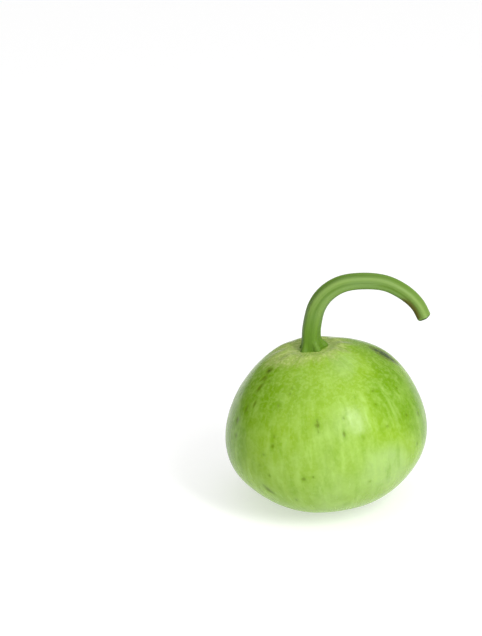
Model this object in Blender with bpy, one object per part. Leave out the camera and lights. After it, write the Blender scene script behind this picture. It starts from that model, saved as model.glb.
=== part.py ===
"""A round bottle gourd with its hooked green stem, resting on the flat spot under its belly.

Metres, +Z up. The origin is the middle of that flat spot, and the gourd's best side faces -Y.
Run with: blender --background --python part.py
"""

import math

import bmesh
import bpy
from mathutils import Matrix, Vector

MM = 0.001

# Fruit
WIDTH = 130 * MM
SHOULDER_HEIGHT = 59.5 * MM  # from the widest ring up to the top
BELLY_DEPTH = 46.2 * MM  # from the widest ring down to the blossom end
SHOULDER_POWER = 1.95  # the outline's power; 2 is an ellipse, and more is squarer
BELLY_POWER = 2.17
BLEND = 0.6  # how far belly and shoulder run into each other, as a share of the height
LEAN = math.radians(7.8)  # towards -X
MIDDLE = Vector((-0.1, -0.3, 46.8)) * MM  # of the widest ring, seen from the rest spot

# Soft lumps and flats of the skin: azimuth and polar angle, spread (degrees), height
LUMPS = (
    (140, 30, 18, 1.7 * MM),  # back left shoulder, full
    (30, 40, 20, 1.8 * MM),  # back right shoulder, full
    (5, 79, 22, -0.4 * MM),  # right side, a little flat
    (-35, 140, 24, 1.9 * MM),  # front right of the belly, full
    (15, 166, 24, 2.0 * MM),  # underside, which settled where it lay
    (75, 95, 26, -1.2 * MM),  # back, flattened
    (95, 132, 30, 1.6 * MM),  # back of the belly, full
    (-100, 128, 22, 1.1 * MM),  # front of the belly, full
    (205, 118, 24, -1.4 * MM),  # left of the belly, flattened
    (180, 70, 24, -1.7 * MM),  # left side, flattened
)

# The hollow that the stem grows from, and the folds of skin that run out of it
SEAT_RADIUS = 11.2 * MM
HOLLOW_RADIUS = 20 * MM
HOLLOW_DEPTH = 2.7 * MM
FOLD_COUNT = 10
FOLD_HEIGHT = 0.35 * MM
FOLD_MIDDLE = 19 * MM
FOLD_SPREAD = 8 * MM

# The scar that the flower left under the fruit, beside the spot that it rests on
SCAR_MIDDLE = Vector((16.5, -6)) * MM  # from the fruit's own axis
SCAR_RADIUS = 4.8 * MM
SCAR_DEPTH = 1.5 * MM

# Stem: its middle line from the seat, as seen from the front, and its thickness
STEM_ROUTE = tuple(
    Vector(point) * MM
    for point in (
        (0, 0, 0),
        (-1.1, 0.1, 6.5),
        (-0.5, 0.3, 15.0),
        (2.4, 0.5, 26.4),
        (8.5, 0.8, 35.1),
        (18.4, 1.5, 40.9),
        (31.6, 2.2, 42.6),
        (44.7, 2.4, 41.2),
        (56.0, 1.9, 35.8),
        (64.4, 1.4, 28.2),
        (69.4, 1.0, 19.0),
    )
)
STEM_GAP = 0.3 * MM  # between the foot and its seat
STEM_RADII = (  # (share of the length from the foot, radius)
    (0, 5.9 * MM),
    (0.2, 5.7 * MM),
    (0.4, 5.55 * MM),
    (0.6, 5.15 * MM),
    (0.8, 4.85 * MM),
    (1, 4.4 * MM),
)
FLARE = 1.9 * MM  # how much wider the foot spreads
FLARE_LENGTH = 3.2 * MM
RIDGES = 5
RIDGE_HEIGHT = 0.06  # shares of the stem's radius
RIDGE_CREST = 0.012
RIDGE_START = math.radians(-8)  # about the foot
RIDGE_TURN = math.radians(35)  # from foot to tip
TOE_LENGTH = 2.0 * MM  # how far the ridges run out over the seat
TOE_HEIGHT = 6 * MM
RIM_LENGTH = 1.4 * MM  # of the rounded rim at the cut end
RIM_SHRINK = 0.3

# Fineness
FRUIT_SEGMENTS = 66
FRUIT_RINGS = 48
POLE_CROWDING = 0.3  # draws rings towards both poles
STEM_STATIONS = 38
END_CROWDING = 0.8  # draws stations towards both ends of the stem
SECTION_POINTS = 40
ROUTE_STEPS = 24
WELD = 0.01 * MM
SHARP_ANGLE = math.radians(50)
CUTTER_DEPTH = 10 * MM

SKIN_GREEN = (0.36, 0.60, 0.09, 1)
SKIN_ROUGHNESS = 0.38
STEM_GREEN = (0.17, 0.33, 0.06, 1)
STEM_ROUGHNESS = 0.5


def clear_scene():
    for obj in list(bpy.data.objects):
        bpy.data.objects.remove(obj, do_unlink=True)


def make_collection(name):
    collection = bpy.data.collections.new(name)
    bpy.context.scene.collection.children.link(collection)
    return collection


def make_material(name, colour, roughness):
    material = bpy.data.materials.new(name)
    material.use_nodes = True
    shader = material.node_tree.nodes["Principled BSDF"]
    shader.inputs["Base Color"].default_value = colour
    shader.inputs["Roughness"].default_value = roughness
    shader.inputs["Metallic"].default_value = 0
    return material


def smooth_step(value, low, high):
    share = min(max((value - low) / (high - low), 0), 1)
    return share * share * (3 - 2 * share)


def direction(azimuth, polar):
    """Unit vector of an azimuth from +X and a polar angle from +Z."""
    return Vector(
        (
            math.sin(polar) * math.cos(azimuth),
            math.sin(polar) * math.sin(azimuth),
            math.cos(polar),
        )
    )


def lump_height(way):
    """How far the lumps push the skin out in this direction."""
    total = 0
    for azimuth, polar, spread, height in LUMPS:
        middle = direction(math.radians(azimuth), math.radians(polar))
        turn = way.angle(middle) / math.radians(spread)
        total += height * math.exp(-turn * turn)
    return total


def skin_point(azimuth, polar):
    """A point of the fruit's skin. The angles are counted about the fruit's own axis."""
    along = math.cos(polar)
    upper = smooth_step(along, -BLEND, BLEND)
    power = BELLY_POWER + (SHOULDER_POWER - BELLY_POWER) * upper
    radius = WIDTH / 2 * math.sin(polar) ** (2 / power)
    height = along * (BELLY_DEPTH + (SHOULDER_HEIGHT - BELLY_DEPTH) * upper)
    relief = 1
    if along > 0:
        seat = SHOULDER_HEIGHT - HOLLOW_DEPTH
        relief = smooth_step(radius, SEAT_RADIUS, HOLLOW_RADIUS)
        fold = math.exp(-(((radius - FOLD_MIDDLE) / FOLD_SPREAD) ** 2))
        height = seat + (height - seat) * relief
        height += relief * FOLD_HEIGHT * fold * math.cos(FOLD_COUNT * azimuth)
    point = Vector((radius * math.cos(azimuth), radius * math.sin(azimuth), height))
    if along < 0:
        from_scar = (point.xy - SCAR_MIDDLE).length / SCAR_RADIUS
        point.z += SCAR_DEPTH * math.exp(-(from_scar**4))
    point.rotate(Matrix.Rotation(-LEAN, 3, "Y"))
    way = point.normalized()
    return MIDDLE + point + way * lump_height(way) * relief


def make_fruit(material, collection, cutters):
    """A sphere pulled into the gourd's outline, then cut flat where it rests."""
    shape = bmesh.new()
    bmesh.ops.create_uvsphere(
        shape, u_segments=FRUIT_SEGMENTS, v_segments=FRUIT_RINGS, radius=1
    )
    for vert in shape.verts:
        azimuth = math.atan2(vert.co.y, vert.co.x)
        share = math.acos(min(max(vert.co.z, -1), 1)) / math.pi
        polar = math.pi * share - POLE_CROWDING * math.sin(2 * math.pi * share)
        vert.co = skin_point(azimuth, polar)
    mesh = bpy.data.meshes.new("fruit")
    shape.to_mesh(mesh)
    shape.free()
    mesh.shade_smooth()
    mesh.materials.append(material)
    fruit = bpy.data.objects.new("fruit", mesh)
    collection.objects.link(fruit)

    bpy.ops.mesh.primitive_cube_add(size=1, location=(0, 0, -CUTTER_DEPTH / 2))
    table = bpy.context.object
    table.name = "table_cutter"
    table.data.transform(Matrix.Diagonal((WIDTH, WIDTH, CUTTER_DEPTH, 1)))
    table.hide_render = True
    table.display_type = "WIRE"
    for holder in list(table.users_collection):
        holder.objects.unlink(table)
    cutters.objects.link(table)
    cut = fruit.modifiers.new("rest spot", "BOOLEAN")
    cut.operation = "DIFFERENCE"
    cut.object = table
    return fruit


def smooth_route(points, steps):
    """A Catmull-Rom curve through the points, as a list of close points."""
    ends = [2 * points[0] - points[1], *points, 2 * points[-1] - points[-2]]
    route = []
    for a, b, c, d in zip(ends, ends[1:], ends[2:], ends[3:]):
        for step in range(steps):
            t = step / steps
            route.append(
                0.5
                * (
                    2 * b
                    + (c - a) * t
                    + (2 * a - 5 * b + 4 * c - d) * t**2
                    + (3 * b - a - 3 * c + d) * t**3
                )
            )
    return [*route, points[-1].copy()]


def stem_stations():
    """(point, distance from the foot) at each station of the stem, and the stem's length."""
    route = smooth_route(STEM_ROUTE, ROUTE_STEPS)
    distances = [0]
    for start, end in zip(route, route[1:]):
        distances.append(distances[-1] + (end - start).length)
    length = distances[-1]
    stations = []
    for index in range(STEM_STATIONS):
        share = index / (STEM_STATIONS - 1)
        share -= END_CROWDING * math.sin(2 * math.pi * share) / (2 * math.pi)
        wanted = share * length
        after = next((i for i, d in enumerate(distances) if d >= wanted), len(route) - 1)
        before = max(after - 1, 0)
        span = distances[after] - distances[before]
        part = (wanted - distances[before]) / span if span else 0
        stations.append((route[before].lerp(route[after], part), wanted))
    return stations, length


def stem_radius(distance, length):
    """Thinner towards the tip, flared at the foot, with a rounded rim at the cut."""
    share = distance / length
    radius = STEM_RADII[-1][1]
    for (low, thick), (high, thin) in zip(STEM_RADII, STEM_RADII[1:]):
        if low <= share < high:
            radius = thick + (thin - thick) * (share - low) / (high - low)
    radius += FLARE * math.exp(-distance / FLARE_LENGTH)
    into_rim = max(distance - (length - RIM_LENGTH), 0) / RIM_LENGTH
    return radius * (1 - RIM_SHRINK * into_rim**2)


def ridge(turn):
    """1 on a ridge's crest, -1 in the groove between two."""
    return math.cos(RIDGES * turn)


def make_section(cutters):
    """The stem's ridged cross-section, of 1 mm radius, as a closed curve."""
    data = bpy.data.curves.new("stem_section", "CURVE")
    data.dimensions = "2D"
    spline = data.splines.new("POLY")
    spline.points.add(SECTION_POINTS - 1)
    for index, point in enumerate(spline.points):
        turn = 2 * math.pi * index / SECTION_POINTS
        crest = RIDGE_HEIGHT * ridge(turn) + RIDGE_CREST * math.cos(2 * RIDGES * turn)
        radius = (1 + crest) * MM
        point.co = (radius * math.cos(turn), radius * math.sin(turn), 0, 1)
    spline.use_cyclic_u = True
    section = bpy.data.objects.new("stem_section", data)
    section.hide_render = True
    cutters.objects.link(section)
    return section


def make_stem(material, collection, cutters):
    """A ridged section swept along the hooked route, with its foot spread on the seat."""
    stations, length = stem_stations()
    data = bpy.data.curves.new("stem_sweep", "CURVE")
    data.dimensions = "3D"
    data.bevel_mode = "OBJECT"
    data.bevel_object = make_section(cutters)
    data.use_fill_caps = True
    spline = data.splines.new("POLY")
    spline.points.add(len(stations) - 1)
    for point, (place, distance) in zip(spline.points, stations):
        point.co = (*place, 1)
        point.radius = stem_radius(distance, length) / MM
        point.tilt = RIDGE_START + RIDGE_TURN * distance / length
    sweep = bpy.data.objects.new("stem_sweep", data)
    collection.objects.link(sweep)
    bpy.context.view_layer.update()
    graph = bpy.context.evaluated_depsgraph_get()
    mesh = bpy.data.meshes.new_from_object(sweep.evaluated_get(graph))
    bpy.data.objects.remove(sweep)

    shape = bmesh.new()
    shape.from_mesh(mesh)
    bmesh.ops.remove_doubles(shape, verts=shape.verts, dist=WELD)
    bmesh.ops.recalc_face_normals(shape, faces=shape.faces)
    spread_toes(shape, length)
    seat = Vector((0, 0, SHOULDER_HEIGHT - HOLLOW_DEPTH + STEM_GAP))
    seat.rotate(Matrix.Rotation(-LEAN, 3, "Y"))
    bmesh.ops.translate(shape, verts=shape.verts, vec=MIDDLE + seat)
    shape.to_mesh(mesh)
    shape.free()
    mesh.name = "stem"
    mesh.shade_smooth()
    mesh.set_sharp_from_angle(angle=SHARP_ANGLE)
    mesh.materials.clear()
    mesh.materials.append(material)
    stem = bpy.data.objects.new("stem", mesh)
    collection.objects.link(stem)
    return stem


def spread_toes(shape, length):
    """Runs the ridges out into toes at the foot, and sets the foot flat on the seat's plane."""
    axis = Vector((-math.sin(LEAN), 0, math.cos(LEAN)))
    for vert in shape.verts:
        height = vert.co.dot(axis)
        if height > TOE_HEIGHT or vert.co.length > 2 * SEAT_RADIUS:
            continue
        out = vert.co - axis * height
        groove = stem_radius(max(height, 0), length) * (1 - RIDGE_HEIGHT)
        crest = smooth_step(out.length / groove - 1, 0, 2 * RIDGE_HEIGHT)
        low = 1 - smooth_step(height, 0, TOE_HEIGHT)
        vert.co += out.normalized() * TOE_LENGTH * crest * low
        if height < STEM_GAP:
            vert.co -= axis * vert.co.dot(axis)


def main():
    clear_scene()
    gourd = make_collection("bottle_gourd")
    cutters = make_collection("cutters")
    skin = make_material("gourd_skin", SKIN_GREEN, SKIN_ROUGHNESS)
    stalk = make_material("green_stem", STEM_GREEN, STEM_ROUGHNESS)
    make_fruit(skin, gourd, cutters)
    make_stem(stalk, gourd, cutters)


main()
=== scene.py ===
# %% [markdown]
# # A round bottle gourd, picked young
#
# This lesson dresses a plain CAD gourd: one fruit and one hooked stem. The CAD model gives the
# sizes and the places. Each step below swaps one of its plain solids for a finer mesh with a
# material made of nodes, and then a floor, two lamps and a camera make the picture.

# %% Load the frame
import math

import bpy
import numpy as np
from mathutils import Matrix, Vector, noise


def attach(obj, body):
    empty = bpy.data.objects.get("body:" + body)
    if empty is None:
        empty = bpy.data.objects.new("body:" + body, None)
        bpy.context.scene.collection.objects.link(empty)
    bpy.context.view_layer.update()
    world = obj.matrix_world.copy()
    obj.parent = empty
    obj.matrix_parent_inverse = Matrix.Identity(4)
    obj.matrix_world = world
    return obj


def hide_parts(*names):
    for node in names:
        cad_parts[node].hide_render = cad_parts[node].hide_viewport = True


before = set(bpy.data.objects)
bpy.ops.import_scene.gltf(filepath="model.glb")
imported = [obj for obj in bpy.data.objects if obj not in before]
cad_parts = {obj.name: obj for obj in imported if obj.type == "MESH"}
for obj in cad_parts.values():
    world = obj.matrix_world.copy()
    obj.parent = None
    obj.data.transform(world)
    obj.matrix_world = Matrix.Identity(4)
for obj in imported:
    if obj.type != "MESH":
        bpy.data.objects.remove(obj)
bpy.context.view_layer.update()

MM = 0.001

# %% [markdown]
# ## The fruit's outline
#
# A gourd grows round its own axis, so every cut through that axis has nearly the same outline:
# a high shoulder that runs into a shallower belly. A sphere with a subdivision modifier could be
# sculpted by hand, but a formula keeps the sizes exact, and the skin can be as fine as it needs.
# The outline is a superellipse whose power and height run smoothly from belly to shoulder. The
# fruit leans a little, as it stands, and soft lumps break its symmetry.

# %% Sizes of the fruit
WIDTH = 130 * MM
SHOULDER_HEIGHT = 59.5 * MM
BELLY_DEPTH = 46.2 * MM
SHOULDER_POWER = 1.95
BELLY_POWER = 2.17
BLEND = 0.6
LEAN = math.radians(7.8)
MIDDLE = np.array([-0.1, -0.3, 46.8]) * MM

# azimuth and polar angle, spread (degrees), height (mm)
LUMPS = (
    (140, 30, 18, 1.7),
    (30, 40, 20, 1.8),
    (5, 79, 22, -0.4),
    (-35, 140, 24, 1.9),
    (15, 166, 24, 2.0),
    (75, 95, 26, -1.2),
    (95, 132, 30, 1.6),
    (-100, 128, 22, 1.1),
    (205, 118, 24, -1.4),
    (180, 70, 24, -1.7),
)
print("Fruit:", round(WIDTH / MM), "mm wide, leaning", round(math.degrees(LEAN), 1), "degrees")

# %% [markdown]
# A place on the skin is named by two angles, as on a globe: the azimuth round the axis, and the
# polar angle down from the stem's end. Small helpers turn the angles into directions, lean those
# over with the fruit, and add up soft round spots, which later make lumps as well as pale patches.


# %% Helpers for directions
def smooth_step(value, low, high):
    """0 below low, 1 above high, and a soft S between them."""
    share = np.clip((value - low) / (high - low), 0, 1)
    return share * share * (3 - 2 * share)


def directions(azimuth, polar):
    """Unit vectors of azimuths from +X and polar angles from +Z."""
    flat = np.sin(polar)
    return np.stack([flat * np.cos(azimuth), flat * np.sin(azimuth), np.cos(polar)], -1)


def shortest_turn(angle):
    """The same turn, brought between minus and plus half a circle."""
    return (angle + math.pi) % (2 * math.pi) - math.pi


def soft_spots(ways, spots):
    """Adds up round spots along each way: azimuth, polar angle, spread (degrees) and strength."""
    total = np.zeros(ways.shape[:-1])
    for azimuth, polar, spread, strength in spots:
        middle = directions(math.radians(azimuth), math.radians(polar))
        turn = np.arccos(np.clip(ways @ middle, -1, 1)) / math.radians(spread)
        total += strength * np.exp(-(turn**2))
    return total


def lean_over(points):
    """Turns points about +Y, the way that the whole fruit leans."""
    cos, sin = math.cos(LEAN), math.sin(LEAN)
    x, y, z = np.moveaxis(np.asarray(points), -1, 0)
    return np.stack([x * cos - z * sin, y, x * sin + z * cos], -1)


print("The stem's end of the axis points to", lean_over([0, 0, 1.0]).round(3))

# %% [markdown]
# The outline is put together in three steps: the superellipse itself, the hollow with its folds
# round the stem, and the lumps. Each is a formula of the azimuth and the polar angle, so any
# point of the skin can be asked for later, also the middle of a mark. Inside the stem's flat seat
# the skin keeps no relief at all, so that the stem stands flush.

# %% Sizes of the hollow and the scar
SEAT_RADIUS = 11.2 * MM
HOLLOW_RADIUS = 20 * MM
HOLLOW_DEPTH = 2.7 * MM
FOLD_COUNT = 10
FOLD_HEIGHT = 0.35 * MM
FOLD_MIDDLE = 19 * MM
FOLD_SPREAD = 8 * MM
SCAR_MIDDLE = np.array([16.5, -6]) * MM
SCAR_RADIUS = 4.8 * MM
SCAR_DEPTH = 1.5 * MM
print("The stem's seat is", round(2 * SEAT_RADIUS / MM, 1), "mm across")


# %% The outline as a formula
def hollow_and_folds(azimuth, along, radius, height):
    """The height with the stem's hollow pressed in, and how much relief each place keeps."""
    seat = SHOULDER_HEIGHT - HOLLOW_DEPTH
    relief = np.where(along > 0, smooth_step(radius, SEAT_RADIUS, HOLLOW_RADIUS), 1)
    fold = np.exp(-(((radius - FOLD_MIDDLE) / FOLD_SPREAD) ** 2))
    pleat = relief * FOLD_HEIGHT * fold * np.cos(FOLD_COUNT * azimuth)
    return np.where(along > 0, seat + (height - seat) * relief + pleat, height), relief


def outline(azimuth, polar):
    """Points of the skin, their ways out, the relief they keep, and the distance from the scar."""
    along = np.cos(polar)
    upper = smooth_step(along, -BLEND, BLEND)
    power = BELLY_POWER + (SHOULDER_POWER - BELLY_POWER) * upper
    radius = WIDTH / 2 * np.sin(polar) ** (2 / power)
    height = along * (BELLY_DEPTH + (SHOULDER_HEIGHT - BELLY_DEPTH) * upper)
    height, relief = hollow_and_folds(azimuth, along, radius, height)
    x, y = radius * np.cos(azimuth), radius * np.sin(azimuth)
    from_scar = np.hypot(x - SCAR_MIDDLE[0], y - SCAR_MIDDLE[1]) / SCAR_RADIUS
    from_scar = np.where(along < 0, from_scar, np.inf)
    height += SCAR_DEPTH * np.exp(-(from_scar**4))
    points = lean_over(np.stack([x, y, height], -1))
    ways = points / np.linalg.norm(points, axis=-1, keepdims=True)
    push = soft_spots(ways, LUMPS) * MM * relief
    return MIDDLE + points + ways * push[..., None], ways, relief, from_scar


# %% [markdown]
# The skin is a grid of such points, about 1 mm apart. The rings crowd together toward both ends of
# the axis, where the hollow and the scar need them.

# %% Points of the skin
AROUND, RINGS = 368, 264
POLE_CROWDING = 0.3

azimuth_of = np.arange(AROUND) / AROUND * 2 * math.pi
share_of = np.arange(1, RINGS) / RINGS
polar_of = math.pi * share_of - POLE_CROWDING * np.sin(2 * math.pi * share_of)
polar, azimuth = np.meshgrid(polar_of, azimuth_of, indexing="ij")
skin, ways, relief, from_scar = outline(azimuth, polar)
print("Outline in mm:", (np.ptp(skin.reshape(-1, 3), axis=0) / MM).round(1))

# %% [markdown]
# ## Dark marks on the skin
#
# A young gourd's skin bruises where leaves and twigs rub it. The marks are dark green specks and
# short scratches, sunk a little. They could be painted by hand, or scattered at random, but they
# tell one gourd from another, so each has its own place here. A vertex can't hold a sharp edge,
# and a distance can: every vertex keeps how far it is from the nearest mark, and the material
# draws the edge where that distance passes 1.

# %% Places of the marks
# azimuth, polar angle, half width, half length (mm), turn from the meridian (degrees), faintness
MARKS = (
    (-151.5, 30.5, 1.9, 1.9, 0, -0.4),
    (-149, 36, 1.1, 2.8, 15, 0.0),
    (-145, 42, 1.2, 3.1, 10, -0.2),
    (-145.5, 36, 1.0, 2.2, 0, 0.1),
    (-138, 36.5, 2.4, 3.2, 0, 0.75),
    (-140.5, 52, 1.0, 2.3, 0, 0.0),
    (-167.5, 51.5, 1.1, 1.8, 0, 0.1),
    (-147, 56, 1.0, 2.8, 10, 0.05),
    (-153.5, 64.5, 1.8, 1.9, 0, -0.15),
    (-118.5, 50.5, 1.8, 2.4, 0, 0.7),
    (-110.5, 39.5, 1.0, 1.2, 0, 0.35),
    (-111, 43, 1.0, 1.3, 0, 0.4),
    (-91, 60, 1.0, 1.6, 0, 0.3),
    (-91, 62.5, 1.5, 1.7, 0, 0.0),
    (-91, 66, 1.0, 1.6, 0, 0.45),
    (-151, 73, 1.5, 1.5, 0, 0.1),
    (-119, 73.5, 1.2, 1.7, 25, 0.2),
    (-125, 79, 1.4, 1.2, 0, 0.4),
    (-128.5, 86.5, 1.2, 1.4, 0, 0.5),
    (-118.5, 68, 0.9, 1.5, 0, 0.4),
    (-102.5, 94.5, 1.4, 1.4, 0, 0.1),
    (-97, 93.5, 0.8, 0.9, 0, 0.2),
    (-122.5, 93, 1.0, 1.1, 0, 0.4),
    (-126.5, 107, 1.5, 4.4, -38, 0.0),
    (-110.5, 116, 1.1, 1.8, 0, 0.3),
    (-26, 57.5, 1.2, 0.9, 0, 0.2),
    (-47, 51.5, 1.1, 1.1, 0, 0.3),
    (-50.5, 59, 1.0, 1.2, 0, 0.3),
    (-49.5, 73, 2.0, 1.1, 0, 0.4),
    (-31.5, 73, 1.1, 1.2, 0, 0.2),
    (-19, 77.5, 1.6, 2.4, 0, 0.35),
    (-62.5, 51, 0.8, 1.0, 0, 0.4),
    (-74.5, 61, 0.9, 1.2, 0, 0.35),
    (-76.5, 70, 1.0, 2.3, 0, 0.15),
    (-66, 74.5, 0.8, 1.5, 0, 0.4),
    (-66, 106.5, 1.1, 1.1, 0, 0.4),
    (-28.5, 94, 1.1, 1.9, 0, 0.35),
    (8, 37.5, 2.6, 3.4, 20, -0.8),
    (7, 42.5, 3.4, 4.4, 0, -1.1),
    (6, 47.5, 2.4, 3.2, -8, -0.8),
    (62, 48, 1.0, 2.4, 12, 0.1),
    (88, 70, 1.5, 1.6, 0, 0.0),
    (104, 95, 1.1, 2.1, -20, 0.1),
    (131, 58, 1.0, 1.4, 0, 0.2),
    (150, 84, 1.4, 1.5, 0, 0.1),
    (48, 88, 1.1, 1.2, 0, 0.2),
    (28, 112, 1.1, 2.6, 30, 0.1),
    (170, 101, 1.0, 1.3, 0, 0.2),
    (74, 62, 1.0, 1.4, 0, 0.3),
    (115, 76, 1.0, 1.9, 10, 0.3),
    (20, 70, 1.0, 1.3, 0, 0.3),
)
# how deep a mark reaches, the largest distance kept, and the small turn that finds the skin's slope
MARK_THICKNESS = 3 * MM
FAR_OFF = 4.0
SMALL_TURN = 0.001


def marks_near(points):
    """The distance of every point to its nearest mark, where 1 is the mark's own edge."""
    nearest = np.full(points.shape[:-1], FAR_OFF)
    for mark_azimuth, mark_polar, half_width, half_length, turn, faintness in MARKS:
        place = np.array([[math.radians(mark_azimuth), math.radians(mark_polar)]])
        step = np.array([[0, 0], [SMALL_TURN, 0], [0, SMALL_TURN]])
        corner = outline(*(place + step).T)[0]
        across, down = corner[1] - corner[0], corner[2] - corner[0]
        across /= np.linalg.norm(across)
        down /= np.linalg.norm(down)
        cos, sin = math.cos(math.radians(turn)), math.sin(math.radians(turn))
        offset = points - corner[0]
        u = offset @ (across * cos + down * sin) / (half_width * MM)
        v = offset @ (down * cos - across * sin) / (half_length * MM)
        depth = offset @ np.cross(across, down) / MARK_THICKNESS
        nearest = np.minimum(nearest, np.sqrt(u**2 + v**2 + depth**2) + faintness)
    return nearest


blemish = marks_near(skin)
print("Marks:", len(MARKS), "and vertices inside them:", int((blemish < 1).sum()))

# %% [markdown]
# ## Pale ribs and broad patches
#
# Veins run down under the rind from the stem. Over some of them the skin stands up a little, as a
# rib. Ribs could be cut with a brush in sculpt mode, but here they are a list of places, like the
# marks. One value lifts the mesh and lightens the colour, so shape and paint can't drift apart. The
# lighter colour is partly paler skin over the vein and partly a painted highlight along the rib's
# lit edge. No vein runs straight, so each rib sways a little on its way down.

# %% Places of the ribs
# azimuth, middle polar angle and half length (degrees), half width (mm), strength
RIBS = (
    (-58.5, 62, 15, 1.9, 0.85),
    (-39.5, 64, 15, 1.8, 0.65),
    (-80, 80, 22, 1.6, 0.6),
    (-86, 101, 16, 1.5, 0.4),
    (-101, 64, 16, 1.8, 0.45),
    (-106, 92, 18, 1.6, 0.35),
    (-120, 70, 22, 1.8, 0.4),
    (-139, 78, 20, 1.6, 0.4),
    (-64, 100, 18, 1.6, 0.4),
    (-22, 84, 22, 1.8, 0.5),
    (2, 66, 20, 1.8, 0.6),
    (27, 80, 22, 1.8, 0.7),
    (52, 60, 20, 1.9, 0.5),
    (74, 86, 24, 1.8, 0.6),
    (101, 68, 20, 1.7, 0.6),
    (128, 88, 24, 1.8, 0.5),
    (155, 62, 20, 1.8, 0.6),
    (-176, 84, 22, 1.7, 0.5),
    (-158, 66, 18, 1.6, 0.3),
)
RIB_HEIGHT = 0.13 * MM
RIB_SWAY, RIB_WAVES = math.radians(1.5), 5


def ribs_at(azimuth, polar):
    """How strongly a rib stands at each place, from 0 to 1."""
    strongest = np.zeros_like(azimuth)
    for rib_azimuth, rib_polar, half_length, half_width, strength in RIBS:
        bend = RIB_SWAY * np.sin(RIB_WAVES * polar + rib_azimuth)
        aside = shortest_turn(azimuth - math.radians(rib_azimuth) - bend)
        across = aside * np.sin(polar) * WIDTH / 2 / (half_width * MM)
        along = (np.degrees(polar) - rib_polar) / half_length
        strongest = np.maximum(strongest, strength * np.exp(-(across**2) - along**4))
    return strongest


rib = ribs_at(azimuth, polar)
print("Ribs:", len(RIBS), "and the highest, in mm:", round(rib.max() * RIB_HEIGHT / MM, 2))

# %% [markdown]
# Between the ribs the green changes slowly: deep on the shoulders and on the left, pale low on the
# belly. These patches are soft spots that may overlap. Their sum is the value of each place: the
# pigment is deeper below 0 and paler above it. Not all of it is pigment: the deep left side is
# partly painted shade, most of all the far left edge, a small pale patch beside the highlight is a
# painted highlight, and the pale lower right is painted light thrown up by the table.

# %% Places of the patches
# azimuth, polar angle, spread (degrees), tone
PATCHES_AND_PAINTED_LIGHT = (
    (-150, 38, 22, -0.75),
    # painted shade: the far left edge deepened
    (-172, 80, 24, -1.8),
    (-140, 64, 18, -0.35),
    (-120, 50, 14, -0.25),
    (-50, 30, 14, 0.75),
    (-23, 48, 20, -0.75),
    (-40, 64, 20, -0.5),
    (-8, 84, 27, -0.95),
    (-90, 50, 12, -0.2),
    # painted highlight: widens the softbox's highlight
    (-70, 62, 9, 0.25),
    (20, 30, 16, -0.5),
    (-88, 70, 22, 0.35),
    (-112, 82, 16, 0.08),
    # painted light: light thrown up by the table onto the lower right
    (-53, 100, 18, 1.15),
    (-90, 116, 30, 0.35),
    (-130, 106, 22, 0.25),
    (-14, 112, 22, 0.2),
    (40, 95, 24, 0.4),
    (62, 55, 22, -0.7),
    (95, 84, 22, 0.35),
    (118, 46, 24, -0.8),
    (140, 100, 26, 0.3),
    (165, 70, 22, -0.6),
    (0, 170, 34, 0.6),
)
tone_and_painted_light = soft_spots(directions(azimuth, polar), PATCHES_AND_PAINTED_LIGHT)
print("Patches:", len(PATCHES_AND_PAINTED_LIGHT), "with tones from", tone_and_painted_light.min().round(2), "to", tone_and_painted_light.max().round(2))

# %% [markdown]
# The straw ring round the stem reaches farther on the shaded left than elsewhere. So its reach is
# not one number but one for each azimuth.

# %% Reach of the straw ring
RING_REACH, RING_EXTRA = 22 * MM, 9 * MM
RING_WIDE_SIDE, RING_SPREAD = math.radians(185), math.radians(48)

beside_wide_side = shortest_turn(azimuth - RING_WIDE_SIDE)
ring_reach = RING_REACH + RING_EXTRA * np.exp(-((beside_wide_side / RING_SPREAD) ** 2))
reaches = (ring_reach.min() / MM).round(1), (ring_reach.max() / MM).round(1)
print("The ring reaches, in mm, at least and at most:", *reaches)

# %% [markdown]
# ## Fine relief of the skin
#
# Under a lamp the skin isn't glass smooth: it has wide, shallow dents, the ribs, and pits at the
# marks. These are real geometry here, because a bump in the material never changes an outline or
# a soft highlight. The whole skin first goes in by a little, so that it stays within the CAD
# model's box, ribs and all.

# %% Relief and rest spot
DENT_SIZE, DENT_DEPTH = 26 * MM, 0.28 * MM
RIPPLE_SIZE, RIPPLE_DEPTH = 8 * MM, 0.05 * MM
PIT_DEPTH, PIT_FLOOR, PIT_RIM = 0.18 * MM, 0.2, 1.5
SKIN_INSET = 0.3 * MM
FLAT_ROUNDING = 0.2 * MM


def noise_on(points, size, seed):
    """Smooth noise from -1 to 1 whose waves are about twice this size."""
    shift = Vector((seed, 2.7 * seed, -1.3 * seed))
    flat = points.reshape(-1, 3) / size
    values = [noise.noise(Vector(point) + shift) for point in flat.tolist()]
    return np.array(values).reshape(points.shape[:-1])


def carve(points, ways):
    """Presses dents, ripples and pits into the skin, lifts the ribs and flattens the rest spot."""
    depth = SKIN_INSET + DENT_DEPTH * noise_on(points, DENT_SIZE, 3)
    depth += RIPPLE_DEPTH * noise_on(points, RIPPLE_SIZE, 8) - RIB_HEIGHT * rib
    depth += PIT_DEPTH * (1 - smooth_step(blemish, PIT_FLOOR, PIT_RIM))
    carved = points - ways * (depth * relief)[..., None]
    height = carved[..., 2]
    carved[..., 2] = (height + np.sqrt(height**2 + FLAT_ROUNDING**2)) / 2
    carved[..., 2] -= carved[..., 2].min()
    return carved


skin = carve(skin, ways)
print("Carved skin in mm:", (np.ptp(skin.reshape(-1, 3), axis=0) / MM).round(1))

# %% [markdown]
# ## From rings to a mesh
#
# Both the fruit and the stem are rings of points, one after the other. One function joins the
# rings with four-sided faces and closes each end with a fan round a last point, so each piece is
# one closed body. Values that only a material needs, such as the distance to a mark, go along as
# attributes of the vertices. An image could hold them too, but it would need a flat map of the
# skin, and a vertex needs none.


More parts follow.
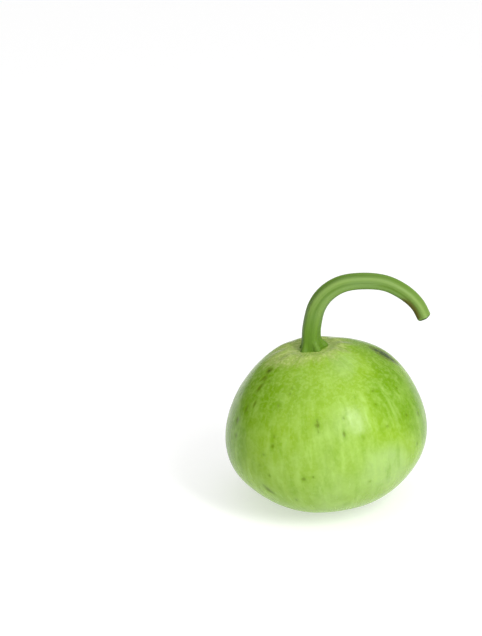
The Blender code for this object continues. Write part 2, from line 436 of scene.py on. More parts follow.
# %% A closed mesh from rings of points
def ring_faces(count, around):
    """Four-sided faces between the rings, and a fan at each end. Point 0 and the last close it."""
    index = 1 + np.arange(count * around).reshape(count, around)
    beside = np.roll(index, -1, axis=1)
    quads = np.stack([index[:-1], index[1:], beside[1:], beside[:-1]], -1).reshape(-1, 4)
    first, last = np.zeros(around, int), np.full(around, 1 + count * around)
    top = np.stack([first, index[0], beside[0]], -1)
    bottom = np.stack([last, beside[-1], index[-1]], -1)
    return quads.tolist() + top.tolist() + bottom.tolist()


def ringed_piece(name, rings, first, last, values):
    """Adds a closed mesh. values holds one array of numbers or vectors for each attribute."""
    count, around = rings.shape[:2]
    points = np.concatenate([[first], rings.reshape(-1, 3), [last]])
    mesh = bpy.data.meshes.new(name)
    mesh.from_pydata(points.tolist(), [], ring_faces(count, around))
    for label, value in values.items():
        flat = value.reshape(count * around, -1)
        flat = np.concatenate([[flat[:around].mean(0)], flat, [flat[-around:].mean(0)]])
        kind, field = ("FLOAT_VECTOR", "vector") if flat.shape[1] == 3 else ("FLOAT", "value")
        layer = mesh.attributes.new(label, kind, "POINT")
        layer.data.foreach_set(field, flat.astype(np.float32).ravel())
    mesh.shade_smooth()
    piece = bpy.data.objects.new(name, mesh)
    bpy.context.scene.collection.objects.link(piece)
    print(name, "has", len(mesh.polygons), "faces")
    return piece


# %% [markdown]
# A pattern that is to run along the piece needs a place in the grain: x and y go round it, and z
# runs along it. On the fruit, z is the way down the skin from the stem.


# %% The fruit's skin as a piece
def grain_of(azimuth, distance, radius):
    """A place in the grain, in metres, from the azimuth and the distance along."""
    return np.stack([radius * np.cos(azimuth), radius * np.sin(azimuth), distance], -1)


steps = np.linalg.norm(np.diff(skin, axis=0), axis=-1).mean(1)
down_the_skin = np.concatenate([[0], np.cumsum(steps)])[:, None] * np.ones_like(azimuth)
skin_values = {
    "grain": grain_of(azimuth, down_the_skin, WIDTH / 2),
    "blemish": blemish,
    "rib": rib,
    "tone_and_painted_light": tone_and_painted_light,
    "from_scar": np.minimum(from_scar, FAR_OFF),
    "beyond_ring": down_the_skin - ring_reach,
}
gourd_skin = ringed_piece("gourd_skin", skin, skin[0].mean(0), skin[-1].mean(0), skin_values)
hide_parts("fruit")
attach(gourd_skin, "root")
print("From stem to blossom end along the skin:", round(down_the_skin.max() / MM), "mm")

# %% [markdown]
# ## The hooked stem
#
# The stem is a fresh green stalk. It stands in the hollow on spread toes, rises by some 40 mm,
# bends over and ends in a knife cut. It has five soft ridges that turn a little on the way, with
# fine grooves between them. A curve with a bevel would be quick, but its cross-section can't
# change along the way. Here a ring of points is swept along the route by hand, so that the foot,
# the ridges and the cut end each get their own shape.

# %% Sizes of the stem
STEM_ROUTE = np.array(
    [
        (0, 0, 0),
        (-1.1, 0.1, 6.5),
        (-0.5, 0.3, 15.0),
        (2.4, 0.5, 26.4),
        (8.5, 0.8, 35.1),
        (18.4, 1.5, 40.9),
        (31.6, 2.2, 42.6),
        (44.7, 2.4, 41.2),
        (56.0, 1.9, 35.8),
        (64.4, 1.4, 28.2),
        (69.4, 1.0, 19.0),
    ]
) * MM
STEM_SHARES = (0, 0.2, 0.4, 0.6, 0.8, 1)
STEM_RADII = np.array([5.9, 5.7, 5.55, 5.15, 4.85, 4.4]) * MM
STEM_INSET = 0.1 * MM
STEM_AROUND, STEM_RINGS = 155, 420
STEPS_PER_SPAN = 40
print("Stem:", round(2 * STEM_RADII[0] / MM, 1), "mm thick above the foot")

# %% [markdown]
# The route runs smoothly through these points. Where a ring stands, it needs two directions
# across the route. They are carried along from ring to ring and never turned about the route, or
# the ridges would twist where the stem bends.


# %% The route and its directions
def smooth_route(points, steps):
    """A Catmull-Rom curve through the points."""
    ends = np.concatenate([[2 * points[0] - points[1]], points, [2 * points[-1] - points[-2]]])
    t = (np.arange(steps) / steps)[:, None]
    route = []
    for a, b, c, d in zip(ends, ends[1:], ends[2:], ends[3:]):
        bend = (2 * a - 5 * b + 4 * c - d) * t**2 + (3 * b - a - 3 * c + d) * t**3
        route.append(0.5 * (2 * b + (c - a) * t + bend))
    return np.concatenate([*route, points[-1:]])


def even_stations(route, count):
    """Points at even distances along the route, and those distances."""
    steps = np.linalg.norm(np.diff(route, axis=0), axis=1)
    travelled = np.concatenate([[0], np.cumsum(steps)])
    wanted = np.linspace(0, travelled[-1], count)
    places = np.stack([np.interp(wanted, travelled, route[:, axis]) for axis in range(3)], -1)
    return places, wanted


def carried_frames(places):
    """Two directions across the route at each place, and the way along it."""
    headings = np.gradient(places, axis=0)
    headings /= np.linalg.norm(headings, axis=1, keepdims=True)
    side = np.array([1.0, 0, 0])
    sides = []
    for heading in headings:
        side = side - heading * (side @ heading)
        side /= np.linalg.norm(side)
        sides.append(side)
    sides = np.array(sides)
    return sides, np.cross(headings, sides), headings


places, distance = even_stations(smooth_route(STEM_ROUTE, STEPS_PER_SPAN), STEM_RINGS)
sides, backs, headings = carried_frames(places)
length = distance[-1]
print("Stem length:", round(length / MM), "mm")

# %% [markdown]
# The ring itself is a circle with five soft ridges, many faint grooves and a few knobs. Near the
# foot it flares, and its ridges run out into toes. At the tip it rounds over into the cut.

# %% Sizes of the ridges and the foot
RIDGES = 5
RIDGE_HEIGHT = 0.06
RIDGE_START = math.radians(-67)
RIDGE_TURN = math.radians(35)
STRIPES = 31
STRIPE_HEIGHT = 0.006
STRIPE_TURN = 9
KNOB_SIZE = 3.5 * MM
KNOB_HEIGHT = 0.02
FLARE = 1.9 * MM
FLARE_LENGTH = 3.2 * MM
TOE_LENGTH = 1.7 * MM
TOE_HEIGHT = 6 * MM
TOE_FROM_CREST = 0.3
RIM_LENGTH = 1.8 * MM
RIM_SHRINK = 0.24
GRAIN_SHORTENED = 4
print("Ridges stand", round(2 * RIDGE_HEIGHT * STEM_RADII[0] / MM, 2), "mm above their grooves")

# %% [markdown]
# Two grids of numbers carry the sweep: how far along the stem each point lies, and how far round.
# Every term of the radius is a formula of the two. The crest is 1 on a ridge and 0 in a groove, and
# the material will ask for it too. The grain is kept four times as short as the stem, so that a
# pattern drawn over it comes out as long streaks.

# %% Sweep the stem
turn = np.arange(STEM_AROUND) / STEM_AROUND * 2 * math.pi
along, round_it = np.meshgrid(distance, turn, indexing="ij")
share = along / length
crest = (1 + np.cos(RIDGES * (round_it - RIDGE_START - RIDGE_TURN * share))) / 2
stem_grain = grain_of(round_it, along / GRAIN_SHORTENED, STEM_RADII[1])

swell = RIDGE_HEIGHT * (2 * crest - 1)
swell += STRIPE_HEIGHT * np.cos(STRIPES * round_it + STRIPE_TURN * share)
swell += KNOB_HEIGHT * noise_on(stem_grain, KNOB_SIZE, 5)

radius = np.interp(share, STEM_SHARES, STEM_RADII) - STEM_INSET
radius += FLARE * np.exp(-along / FLARE_LENGTH)
into_rim = np.clip((along - (length - RIM_LENGTH)) / RIM_LENGTH, 0, 1)
radius *= (1 - RIM_SHRINK * into_rim**3) * (1 + swell)
toes = smooth_step(crest, TOE_FROM_CREST, 1) * (1 - smooth_step(along, 0, TOE_HEIGHT))
radius += TOE_LENGTH * toes

across = sides[:, None] * np.cos(round_it)[..., None]
across += backs[:, None] * np.sin(round_it)[..., None]
rings = places[:, None] + across * radius[..., None]
print("Thickest at the foot:", round(2 * radius.max() / MM, 1), "mm")

# %% [markdown]
# The material has to know more about each point: whether it faces the inside of the hook, whether
# it lies where the inner side has dried brown, and how far over the cut it is. The cut face is a
# little hollow, because the pith shrinks first.

# %% Inner side, dried end and cut face
HOOK_MIDDLE = np.array([33, 1.5, 12]) * MM
DRIED_LENGTH, WHOLLY_DRIED = 25 * MM, 0.6
DRIED_FROM, DRIED_FULLY = -0.1, 0.65
FRESH_AT_CUT, DRIED_BEHIND_CUT = 0.5 * MM, 3 * MM
RIM_WIDTH, RIM_DARK = 1.5 * MM, 0.35
# share of the radius, depth below the rim (mm), how far over the cut from 0 to 1
CUT_RINGS = (
    (0.93, -0.15, 0.35),
    (0.86, -0.1, 0.5),
    (0.7, 0.15, 0.7),
    (0.45, 0.35, 0.9),
    (0.2, 0.45, 1),
)

inward = HOOK_MIDDLE - places
inward /= np.linalg.norm(inward, axis=1, keepdims=True)
inner = (across * inward[:, None]).sum(-1)
to_cut = length - along
dried = 1 - smooth_step(to_cut, WHOLLY_DRIED * DRIED_LENGTH, DRIED_LENGTH)
dried *= smooth_step(inner, DRIED_FROM, DRIED_FULLY)
dried *= smooth_step(to_cut, FRESH_AT_CUT, DRIED_BEHIND_CUT)
cut = RIM_DARK * (1 - smooth_step(to_cut, 0, RIM_WIDTH))

rim, tip = rings[-1], places[-1]
face = [tip + (rim - tip) * out - headings[-1] * sink * MM for out, sink, _ in CUT_RINGS]
face_cut = [np.full(STEM_AROUND, over) for *_, over in CUT_RINGS]
print("The cut is", round(2 * np.linalg.norm(rim - tip, axis=1).mean() / MM, 1), "mm across")

# %% [markdown]
# At the foot nothing may stick out under the seat. So every point below it comes up to the seat,
# and the last ring goes half a millimetre into the fruit, which leaves no gap. The rings are turned
# end for end, since ringed_piece wants them from the cut down to the foot: its faces then look out.

# %% The stem as a piece
SUNK = 0.5 * MM

foot_axis = lean_over([0, 0, 1.0])
below = np.minimum(rings @ foot_axis, 0)
rings = rings - below[..., None] * foot_axis
rings[0] -= foot_axis * SUNK

stem_values = {"grain": stem_grain, "crest": crest, "inner": inner, "dried": dried}
for label, value in stem_values.items():
    over_the_face = np.repeat(value[-1:], len(face), axis=0)
    stem_values[label] = np.concatenate([value, over_the_face])
stem_values["cut"] = np.concatenate([cut, face_cut])
stem_values = {label: value[::-1] for label, value in stem_values.items()}

seat = MIDDLE + lean_over([0, 0, SHOULDER_HEIGHT - HOLLOW_DEPTH])
tip_to_foot = np.concatenate([rings, face])[::-1] + seat
cut_middle, foot_middle = tip_to_foot[0].mean(0), tip_to_foot[-1].mean(0)
stalk = ringed_piece("green_stalk", tip_to_foot, cut_middle, foot_middle, stem_values)
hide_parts("stem")
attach(stalk, "root")

# %% [markdown]
# ## Tools for materials
#
# A material is a net of nodes. It could be drawn by hand in the shader editor, but a script keeps
# every number in sight. One function adds any node, sets its own options, and fills its inputs
# with values or with another node's output. Colours are written as the hex values that a screen
# shows, and one function turns them into the linear light that the renderer works in.


# %% Colours and nodes
def linear(hex_colour):
    """An sRGB colour such as #a4cd55 as linear red, green, blue and alpha."""
    channels = [int(hex_colour[i : i + 2], 16) / 255 for i in (1, 3, 5)]
    return [c / 12.92 if c <= 0.04045 else ((c + 0.055) / 1.055) ** 2.4 for c in channels] + [1]


def add_node(tree, kind, inputs=(), **options):
    """One node. inputs pairs a socket's name or number with a value or another node's output."""
    node = tree.nodes.new(kind)
    for name, value in options.items():
        setattr(node, name, value)
    for socket, value in dict(inputs).items():
        if isinstance(value, bpy.types.NodeSocket):
            tree.links.new(value, node.inputs[socket])
        else:
            node.inputs[socket].default_value = value
    return node


def new_material(name, finish):
    """A material, its node tree and its shader, with the finish's constants set on the shader."""
    material = bpy.data.materials.new(name)
    material.use_nodes = True
    shader = material.node_tree.nodes["Principled BSDF"]
    for socket, value in finish.items():
        shader.inputs[socket].default_value = value
    return material, material.node_tree, shader


print("Leaf green in linear light:", [round(c, 3) for c in linear("#a4cd55")])

# %% [markdown]
# Both materials are painted in layers, as with glazes: a pattern says where, and a paint is laid
# there over what is below. A pattern is noise with patches of a real size in millimetres. It is
# read in one of two ways: over the grain that each vertex keeps, which draws it out along the
# piece, or over the piece's own place in space, which leaves it even on all sides. The noise's
# own waves are about two units long, so its scale is a half: one patch then takes one unit.


# %% Patterns and paints
SOFT = {"interpolation_type": "SMOOTHSTEP"}
NOISE = {"Scale": 0.5, "Roughness": 0.55}


def pattern(tree, place, across, along, detail=3, seed=0.0, curl=0.0):
    """Noise over a place, with patches of this size (mm) across and along the piece."""
    scale = (1 / (across * MM), 1 / (across * MM), 1 / (along * MM))
    inputs = {"Vector": place, "Scale": scale, "Location": (seed, seed, seed)}
    moved = add_node(tree, "ShaderNodeMapping", inputs).outputs[0]
    inputs = {**NOISE, "Vector": moved, "Detail": detail, "Distortion": curl}
    return add_node(tree, "ShaderNodeTexNoise", inputs).outputs[0]


def paint(tree, colour, over, value, start, full, amount):
    """Lays a paint over a colour: none of it where the value is start, the amount where full."""
    inputs = {"Value": value, "From Min": start, "From Max": full, "To Min": 0.0, "To Max": amount}
    share = add_node(tree, "ShaderNodeMapRange", inputs, **SOFT).outputs[0]
    # sockets 6 and 7 of a Mix node are its two colours
    inputs = {0: share, 6: colour, 7: over}
    return add_node(tree, "ShaderNodeMix", inputs, data_type="RGBA").outputs[2]


def kept_values(tree, names):
    """A lookup of the values that the vertices keep, with the grain's place and length along."""
    found = {}
    for name in names:
        found[name] = add_node(tree, "ShaderNodeAttribute", attribute_name=name).outputs["Fac"]
    grain = add_node(tree, "ShaderNodeAttribute", attribute_name="grain")
    found["grain"] = grain.outputs["Vector"]
    found["along"] = add_node(tree, "ShaderNodeSeparateXYZ", {0: found["grain"]}).outputs[2]
    found["space"] = add_node(tree, "ShaderNodeTexCoord").outputs["Object"]
    return found


print("A paint is laid with", SOFT["interpolation_type"].lower(), "edges")

# %% [markdown]
# ## Young gourd rind
#
# The rind is a thin living skin with a waxy coat and a down of fine hairs. To the eye the coat
# gives one soft highlight, the hairs a pale rim, and the flesh close under it lets a little light
# in. Wax has an index near 1.42. Its mirror is weakened here, as the down breaks it up, and the
# roughness was matched to the blurred edge of the highlight. The hairs are far too fine to model,
# so a trace of sheen stands for them.

# %% Rind finish
RIND_FINISH = {
    "IOR": 1.42,
    "Specular IOR Level": 0.25,
    "Subsurface Weight": 0.1,
    "Subsurface Radius": (0.6, 1.0, 0.25),
    "Subsurface Scale": 2.0 * MM,
    "Sheen Weight": 0.01,
    "Sheen Roughness": 0.45,
    "Sheen Tint": linear("#eef6dc"),
}
RIND_GREEN = linear("#86ab29")
DEEP_GREEN = linear("#699400")
PALE_GREEN = linear("#aed06c")
# the belly's milky green, also laid as painted light
MILKY_GREEN_AND_PAINTED_LIGHT = linear("#98b866")

rind, tree, shader = new_material("young_gourd_rind", RIND_FINISH)
gourd_skin.data.materials.append(rind)
on_rind = kept_values(tree, ("blemish", "rib", "tone_and_painted_light", "from_scar", "beyond_ring"))
print("The rind reads", len(on_rind), "values")

# %% [markdown]
# The broad patches come first. The patches from the list above are joined by blotches of about
# 11 by 24 mm, so that no patch ends in a clean circle. Below the middle value the green deepens,
# and above it the green turns to the milky green of the belly. These two paints also lay the
# painted shade and the painted light that some patches stand for.

# %% Broad tones of the rind
blotches = pattern(tree, on_rind["grain"], 11, 24, seed=4.1)
inputs = {0: blotches, 1: 1.0, 2: on_rind["tone_and_painted_light"]}
tones_and_painted_light = add_node(tree, "ShaderNodeMath", inputs, operation="MULTIPLY_ADD").outputs[0]
# deep green: the rind's own, and painted shade on the left side
colour = paint(tree, RIND_GREEN, DEEP_GREEN, tones_and_painted_light, 0.6, -0.5, 1.0)
# milky green: the belly's own, and the painted highlight and painted table light
colour = paint(tree, colour, MILKY_GREEN_AND_PAINTED_LIGHT, tones_and_painted_light, 0.5, 1.4, 0.9)
print("Nodes so far:", len(tree.nodes))

# %% [markdown]
# Over them lies the fine pattern. Real gourds have a soft mottle of 4 to 5 mm, pale dashes and
# dark furrows 3 mm wide that run down from the shoulder, and pale flecks. The flecks are about
# 0.5 mm on the real rind. A picture point covers 0.6 mm, so they are drawn at 1 mm, as coarse as
# they need to show. They are strongest near the stem, and the dashes start only below it.

# %% Fine pattern of the rind
mottle = pattern(tree, on_rind["space"], 4.5, 4.5, seed=6.6, curl=0.4)
colour = paint(tree, colour, PALE_GREEN, mottle, 0.42, 0.66, 0.20)

clear_of_stem = {"Value": on_rind["along"], "From Min": 35 * MM, "From Max": 75 * MM}
dashes = pattern(tree, on_rind["grain"], 3.0, 11, seed=1.7)
inputs = {**clear_of_stem, "To Min": 0.0, "To Max": 0.30}
most = add_node(tree, "ShaderNodeMapRange", inputs, **SOFT).outputs[0]
colour = paint(tree, colour, PALE_GREEN, dashes, 0.50, 0.72, most)
furrows = pattern(tree, on_rind["grain"], 2.6, 9, seed=7.3)
inputs = {**clear_of_stem, "To Min": 0.0, "To Max": 0.34}
most = add_node(tree, "ShaderNodeMapRange", inputs, **SOFT).outputs[0]
colour = paint(tree, colour, DEEP_GREEN, furrows, 0.50, 0.28, most)

FLECK_EDGE = (0.44, 0.64)
flecks = pattern(tree, on_rind["space"], 1.0, 1.0, detail=2, seed=5.5, curl=0.3)
inputs = {"Value": on_rind["along"], "From Min": 75 * MM, "From Max": 40 * MM}
inputs |= {"To Min": 0.13, "To Max": 0.25}
most = add_node(tree, "ShaderNodeMapRange", inputs, **SOFT).outputs[0]
colour = paint(tree, colour, PALE_GREEN, flecks, *FLECK_EDGE, most)

broken = pattern(tree, on_rind["grain"], 2.2, 5, seed=0.6)
inputs = {"Value": broken, "From Min": 0.36, "From Max": 0.56, "To Min": 0.15, "To Max": 0.55}
most = add_node(tree, "ShaderNodeMapRange", inputs, **SOFT).outputs[0]
# pale ribs: paler skin over the veins, and a painted highlight along their lit edges
colour = paint(tree, colour, PALE_GREEN, on_rind["rib"], 0.0, 1.0, most)
print("Nodes so far:", len(tree.nodes))

# %% [markdown]
# Round the stem the skin has turned corky: a straw-coloured ring with a ragged outer edge, flecked
# with olive. Right at the foot, in the crevice, the deep green is painted shade. The ring could be
# a disc of its own, but it has no thickness on the real fruit, so it is one more paint.

# %% Straw ring round the stem
STRAW = linear("#b1c072")
RING_OLIVE = linear("#98ae58")
RAGGED_BY = 18 * MM

inputs = {0: pattern(tree, on_rind["grain"], 3.0, 5, detail=4, seed=2.2), 1: RAGGED_BY}
inputs[2] = on_rind["beyond_ring"]
ragged = add_node(tree, "ShaderNodeMath", inputs, operation="MULTIPLY_ADD").outputs[0]
cork = paint(tree, RING_OLIVE, STRAW, flecks, *FLECK_EDGE, 1.0)
colour = paint(tree, colour, cork, ragged, 15 * MM, 4 * MM, 0.85)
# painted shade: deep green in the crevice right round the stem's foot
colour = paint(tree, colour, DEEP_GREEN, on_rind["along"], 10 * MM, 7.5 * MM, 0.65)
print("Nodes so far:", len(tree.nodes))

# %% [markdown]
# The marks come last, as nothing grows over them. Each has a faint halo, a bruised middle with a
# slightly ragged edge, and where the mark is deepest a near-black green. The blossom scar
# underneath is dry brown cork.

# %% Marks and blossom scar
BRUISE_GREEN = linear("#596e00")
DARKEST_MARK_GREEN = linear("#22400a")
SCAR_BROWN = linear("#8a7344")

wobble = pattern(tree, on_rind["grain"], 1.2, 1.6, seed=9.1)
inputs = {0: wobble, 1: 0.9, 2: on_rind["blemish"]}
mark = add_node(tree, "ShaderNodeMath", inputs, operation="MULTIPLY_ADD").outputs[0]
colour = paint(tree, colour, DEEP_GREEN, mark, 3.4, 1.4, 0.28)
colour = paint(tree, colour, BRUISE_GREEN, mark, 2.0, 0.7, 0.76)
# near-black green where a mark is deepest
colour = paint(tree, colour, DARKEST_MARK_GREEN, mark, 0.6, 0.1, 0.8)
colour = paint(tree, colour, SCAR_BROWN, on_rind["from_scar"], 0.95, 0.6, 0.9)
tree.links.new(colour, shader.inputs["Base Color"])
print("Nodes so far:", len(tree.nodes))

# %% [markdown]
# The wax isn't rubbed evenly, so the gloss changes a little along the grain. The pores are finer
# than 0.2 mm on a real gourd. They are drawn five times as coarse, as a very shallow bump: just
# enough to break the highlight's edge.

# %% Gloss and pores
GLOSSIEST, DULLEST = 0.20, 0.29
PORE_DEPTH, PORE_SHARE = 0.3 * MM, 0.13

wax = pattern(tree, on_rind["grain"], 3, 8, seed=3.3)
inputs = {"Value": wax, "From Min": 0.3, "From Max": 0.7, "To Min": GLOSSIEST, "To Max": DULLEST}
gloss = add_node(tree, "ShaderNodeMapRange", inputs, **SOFT).outputs[0]
tree.links.new(gloss, shader.inputs["Roughness"])
pores = pattern(tree, on_rind["grain"], 1.0, 1.8, seed=6.2)
inputs = {"Height": pores, "Strength": PORE_SHARE, "Distance": PORE_DEPTH}
bump = add_node(tree, "ShaderNodeBump", inputs)
tree.links.new(bump.outputs[0], shader.inputs["Normal"])
print("Rind nodes:", len(tree.nodes))

# %% [markdown]
# ## Fresh green stalk
#
# The stalk is fibrous plant tissue, cut a day or so ago. To the eye it is matt, with long soft
# streaks and no sharp highlight, so its roughness is 0.5. Its ridges are painted paler, as painted
# light, and its grooves darker, as painted shade, and a faint grey bloom lies over it. The ridge
# height that each vertex keeps drives the colour, so the paint follows the shape exactly.

# %% Stalk finish
STALK_FINISH = {
    "IOR": 1.42,
    "Specular IOR Level": 0.25,
    "Roughness": 0.5,
    "Subsurface Weight": 0.08,
    "Subsurface Radius": (0.6, 1.0, 0.3),
    "Subsurface Scale": 1.5 * MM,
    "Sheen Weight": 0.02,
    "Sheen Roughness": 0.4,
    "Sheen Tint": linear("#eef6dc"),
}
STALK_GREEN = linear("#6b8a3a")
# pale green of the fibre streaks and the wilting end, also painted light on the ridges
PALE_STALK_AND_RIDGE_LIGHT = linear("#849f53")
# dark green painted as shade in the grooves and on both sides of the bend
PAINTED_SHADE_GREEN = linear("#4d7016")
FOOT_GREEN = linear("#577f08")
BLOOM = linear("#75925a")

stem_skin, tree, shader = new_material("fresh_green_stalk", STALK_FINISH)
stalk.data.materials.append(stem_skin)
on_stalk = kept_values(tree, ("crest", "inner", "dried", "cut"))
print("The stalk reads", len(on_stalk), "values")

# %% [markdown]
# Ridges, streaks and bloom are laid first. The streaks are bundles of fibres about 1 mm wide, and
# the bloom comes in patches of 4 to 5 mm. The grain of the stalk is kept at a quarter of its
# length, so a streak of 6 mm in the grain is 24 mm long on the stalk. The foot is deeper green.
# The outer and inner side of the bend are darkened as painted shade. The last 30 mm have
# paled, as the cut stalk wilts from its end.

# %% Ridges, streaks and bloom
# painted shade in the grooves and painted light on the ridges
colour = paint(tree, STALK_GREEN, PAINTED_SHADE_GREEN, on_stalk["crest"], 0.4, 0.0, 0.55)
colour = paint(tree, colour, PALE_STALK_AND_RIDGE_LIGHT, on_stalk["crest"], 0.55, 1.0, 0.5)
streaks = pattern(tree, on_stalk["grain"], 1.0, 6, seed=2.0)
colour = paint(tree, colour, PALE_STALK_AND_RIDGE_LIGHT, streaks, 0.42, 0.7, 0.3)
bloom = pattern(tree, on_stalk["grain"], 4, 5, seed=8.0)
colour = paint(tree, colour, BLOOM, bloom, 0.4, 0.65, 0.4)
colour = paint(tree, colour, FOOT_GREEN, on_stalk["along"], 8.5 * MM, 2 * MM, 0.75)
# painted shade along the outer side of the bend
colour = paint(tree, colour, PAINTED_SHADE_GREEN, on_stalk["inner"], -0.5, -0.95, 0.4)
# painted shade on the inner side, under the bend
inputs = {"Value": on_stalk["along"], "From Min": 6 * MM, "From Max": 14 * MM}
inputs |= {"To Min": 0.0, "To Max": 0.75}
most = add_node(tree, "ShaderNodeMapRange", inputs, **SOFT).outputs[0]
colour = paint(tree, colour, PAINTED_SHADE_GREEN, on_stalk["inner"], 0.3, 0.85, most)
colour = paint(tree, colour, PALE_STALK_AND_RIDGE_LIGHT, on_stalk["along"], 21 * MM, 28 * MM, 0.35)
print("Nodes so far:", len(tree.nodes))

# %% [markdown]
# Near the knife cut the inner side has dried brown in patches. The cut itself shows pale pith
# inside a darker rim of rind. In the pith stand the ends of the sap bundles, about 0.7 mm wide, and
# its middle, which dries first, is a little darker.

# %% Drying end and cut face
DRIED_BROWN = linear("#4f4a10")
PITH = linear("#b8bf82")
BUNDLE_GREEN = linear("#86964e")
CUT_RIM = linear("#33481a")

patchy = pattern(tree, on_stalk["grain"], 2, 4, seed=4.4)
inputs = {"Value": patchy, "From Min": 0.3, "From Max": 0.55, "To Min": 0.4, "To Max": 0.95}
most = add_node(tree, "ShaderNodeMapRange", inputs, **SOFT).outputs[0]
colour = paint(tree, colour, DRIED_BROWN, on_stalk["dried"], 0.0, 1.0, most)
colour = paint(tree, colour, CUT_RIM, on_stalk["cut"], 0.05, 0.25, 1.0)
bundles = pattern(tree, on_stalk["space"], 0.7, 0.7, detail=1, seed=3.7)
pith = paint(tree, PITH, BUNDLE_GREEN, bundles, 0.5, 0.62, 0.6)
pith = paint(tree, pith, BUNDLE_GREEN, on_stalk["cut"], 0.85, 1.0, 0.5)
colour = paint(tree, colour, pith, on_stalk["cut"], 0.5, 0.65, 1.0)
tree.links.new(colour, shader.inputs["Base Color"])
print("Nodes so far:", len(tree.nodes))

# %% [markdown]
# Under the finger the stalk is finely ribbed. The real fibres are about 0.2 mm wide, and they are
# drawn here at 0.6 mm, the size of a picture point. They are a shallow bump, as mesh this fine
# would take millions of faces.

# %% Fibres of the stalk
FIBRE_DEPTH, FIBRE_SHARE = 0.3 * MM, 0.3

fibres = pattern(tree, on_stalk["grain"], 0.6, 4, seed=1.1)
inputs = {"Height": fibres, "Strength": FIBRE_SHARE, "Distance": FIBRE_DEPTH}
bump = add_node(tree, "ShaderNodeBump", inputs)
tree.links.new(bump.outputs[0], shader.inputs["Normal"])
print("Stalk nodes:", len(tree.nodes))

# %% [markdown]
# ## White table
#
# The gourd stands on a matt white laminate top that gives off light of its own, as a light table
# does. That is how a product is shown on pure white: the table's glow lifts the ground to white and
# lights the belly from below, while a soft shadow still shows where the fruit stands. A brighter
# lamp would whiten the table too, but it would wash out the green first.

# %% White table
TABLE_SIZE = 80.0
TABLE_FINISH = {
    "Base Color": linear("#cccccc"),
    "Roughness": 0.9,
    "Specular IOR Level": 0.1,
    "Emission Color": linear("#ffffff"),
    "Emission Strength": 0.52,
}
bpy.ops.mesh.primitive_plane_add(size=TABLE_SIZE)
floor = bpy.context.object
floor.name = "white_table"
table_top, tree, shader = new_material("white_laminate_top", TABLE_FINISH)
floor.data.materials.append(table_top)
print("Table:", TABLE_SIZE, "m square")

# %% [markdown]
# ## Lamps
#
# Two lamps light the gourd. A tall softbox to the right of the camera makes the one clear
# highlight, and its size and height set the highlight's. A very wide, weak sun a little to the
# left stands for a white ceiling and fills the shadows. Each lamp's way is two angles in degrees:
# to the right of the camera, and up from the table.

# %% Lamps
MIDDLE_POINT = Vector(MIDDLE)
SOFTBOX_WAY, SOFTBOX_DISTANCE, SOFTBOX_WATTS = (38.5, 36), 1.2, 9.1
SOFTBOX_SIZE = (0.3, 0.64)
CEILING_WAY, CEILING_DISTANCE, CEILING_STRENGTH = (-15, 66), 2.0, 1.66
CEILING_SPREAD = math.radians(90)


def way_to(azimuth, elevation):
    """The direction to a lamp: degrees to the right of the camera, and up from the table."""
    side, height = math.radians(azimuth), math.radians(elevation)
    level = Vector((math.sin(side), -math.cos(side), 0)) * math.cos(height)
    return level + Vector((0, 0, math.sin(height)))


def hang_lamp(name, kind, angles, distance, energy):
    """Adds a lamp that lies this way from the gourd, turned to face it."""
    way = way_to(*angles)
    light = bpy.data.lights.new(name, kind)
    light.energy = energy
    lamp = bpy.data.objects.new(name, light)
    lamp.location = MIDDLE_POINT + way * distance
    lamp.rotation_euler = way.to_track_quat("Z", "Y").to_euler()
    bpy.context.scene.collection.objects.link(lamp)
    return light


softbox = hang_lamp("tall_softbox", "AREA", SOFTBOX_WAY, SOFTBOX_DISTANCE, SOFTBOX_WATTS)
softbox.shape = "RECTANGLE"
softbox.size, softbox.size_y = SOFTBOX_SIZE
ceiling = hang_lamp("bright_ceiling", "SUN", CEILING_WAY, CEILING_DISTANCE, CEILING_STRENGTH)
ceiling.angle = CEILING_SPREAD
print("Softbox:", round(softbox.size, 2), "by", round(softbox.size_y, 2), "m")

# %% [markdown]
# ## Room
#
# The room itself gives a little light from all sides. It is brighter on the right than on the left,
# so that the left side of the fruit stays deep. A picture of a real room could light it too, but a
# plain change from left to right is easier to steer. The way from -1 (left) to 1 (right) drives it.

# %% Room
ROOM_LEFT, ROOM_RIGHT = -0.9, 0.5
DIMMEST, BRIGHTEST = 0.08, 0.40

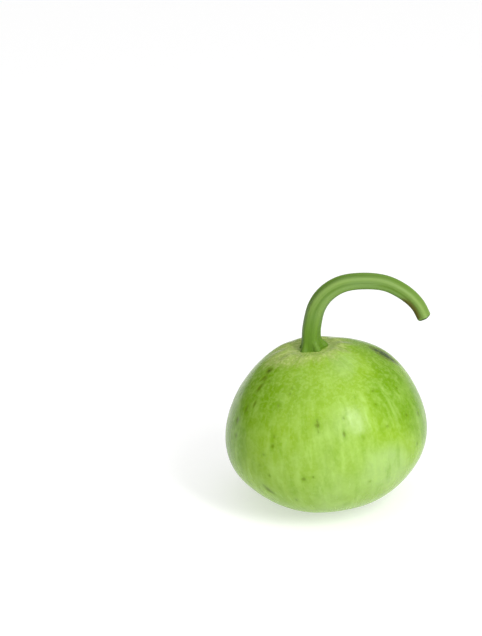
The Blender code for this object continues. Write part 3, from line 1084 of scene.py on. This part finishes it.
room = bpy.data.worlds.new("white_room")
room.use_nodes = True
tree = room.node_tree
backdrop = tree.nodes["Background"]
way = add_node(tree, "ShaderNodeTexCoord").outputs["Generated"]
to_the_right = add_node(tree, "ShaderNodeSeparateXYZ", {0: way}).outputs[0]
inputs = {"Value": to_the_right, "From Min": ROOM_LEFT, "From Max": ROOM_RIGHT}
inputs |= {"To Min": DIMMEST, "To Max": BRIGHTEST}
glow = add_node(tree, "ShaderNodeMapRange", inputs, **SOFT).outputs[0]
tree.links.new(glow, backdrop.inputs["Strength"])
backdrop.inputs["Color"].default_value = (1, 1, 1, 1)
bpy.context.scene.world = room
bpy.context.scene.view_settings.view_transform = "Standard"
print("The room's light runs from", DIMMEST, "on the left to", BRIGHTEST, "on the right")

# %% [markdown]
# ## Camera
#
# The camera looks down at the gourd by 22 degrees from 1.2 m away. The gourd isn't in the middle
# of the picture: it stands low on the right. A shifted lens could put it there, but the camera is
# turned away from it instead, by as many pixels as the picture asks for, because a shift would
# stay in every other view. The lens follows from how many pixels one metre takes at the gourd. A
# lens draws things a little larger away from the middle, so that is divided out.

# %% Camera
FRAME_WIDTH, FRAME_HEIGHT = 482, 636
GOURD_PIXEL = (325.3, 431.0)
PIXELS_PER_METRE = 1576
CAMERA_DISTANCE = 1.2
CAMERA_ELEVATION = math.radians(22)
SENSOR_WIDTH = 36
LARGER_OFF_AXIS = 1.5

camera_data = bpy.data.cameras.new("camera")
camera = bpy.data.objects.new("camera", camera_data)
bpy.context.scene.collection.objects.link(camera)
right = GOURD_PIXEL[0] - FRAME_WIDTH / 2
low = GOURD_PIXEL[1] - FRAME_HEIGHT / 2
off_axis = math.atan(math.hypot(right, low) / (PIXELS_PER_METRE * CAMERA_DISTANCE))
focal = PIXELS_PER_METRE * CAMERA_DISTANCE * math.cos(off_axis) ** LARGER_OFF_AXIS
camera_data.sensor_width = SENSOR_WIDTH
camera_data.lens = focal * SENSOR_WIDTH / FRAME_HEIGHT
toward = Vector((0, math.cos(CAMERA_ELEVATION), -math.sin(CAMERA_ELEVATION)))
camera.location = MIDDLE_POINT - toward * CAMERA_DISTANCE
turn_away = Vector((right, -low, -focal)).rotation_difference(Vector((0, 0, -1)))
camera.rotation_euler = (toward.to_track_quat("-Z", "Y") @ turn_away).to_euler()
bpy.context.scene.camera = camera
print("Lens:", round(camera_data.lens, 1), "mm")
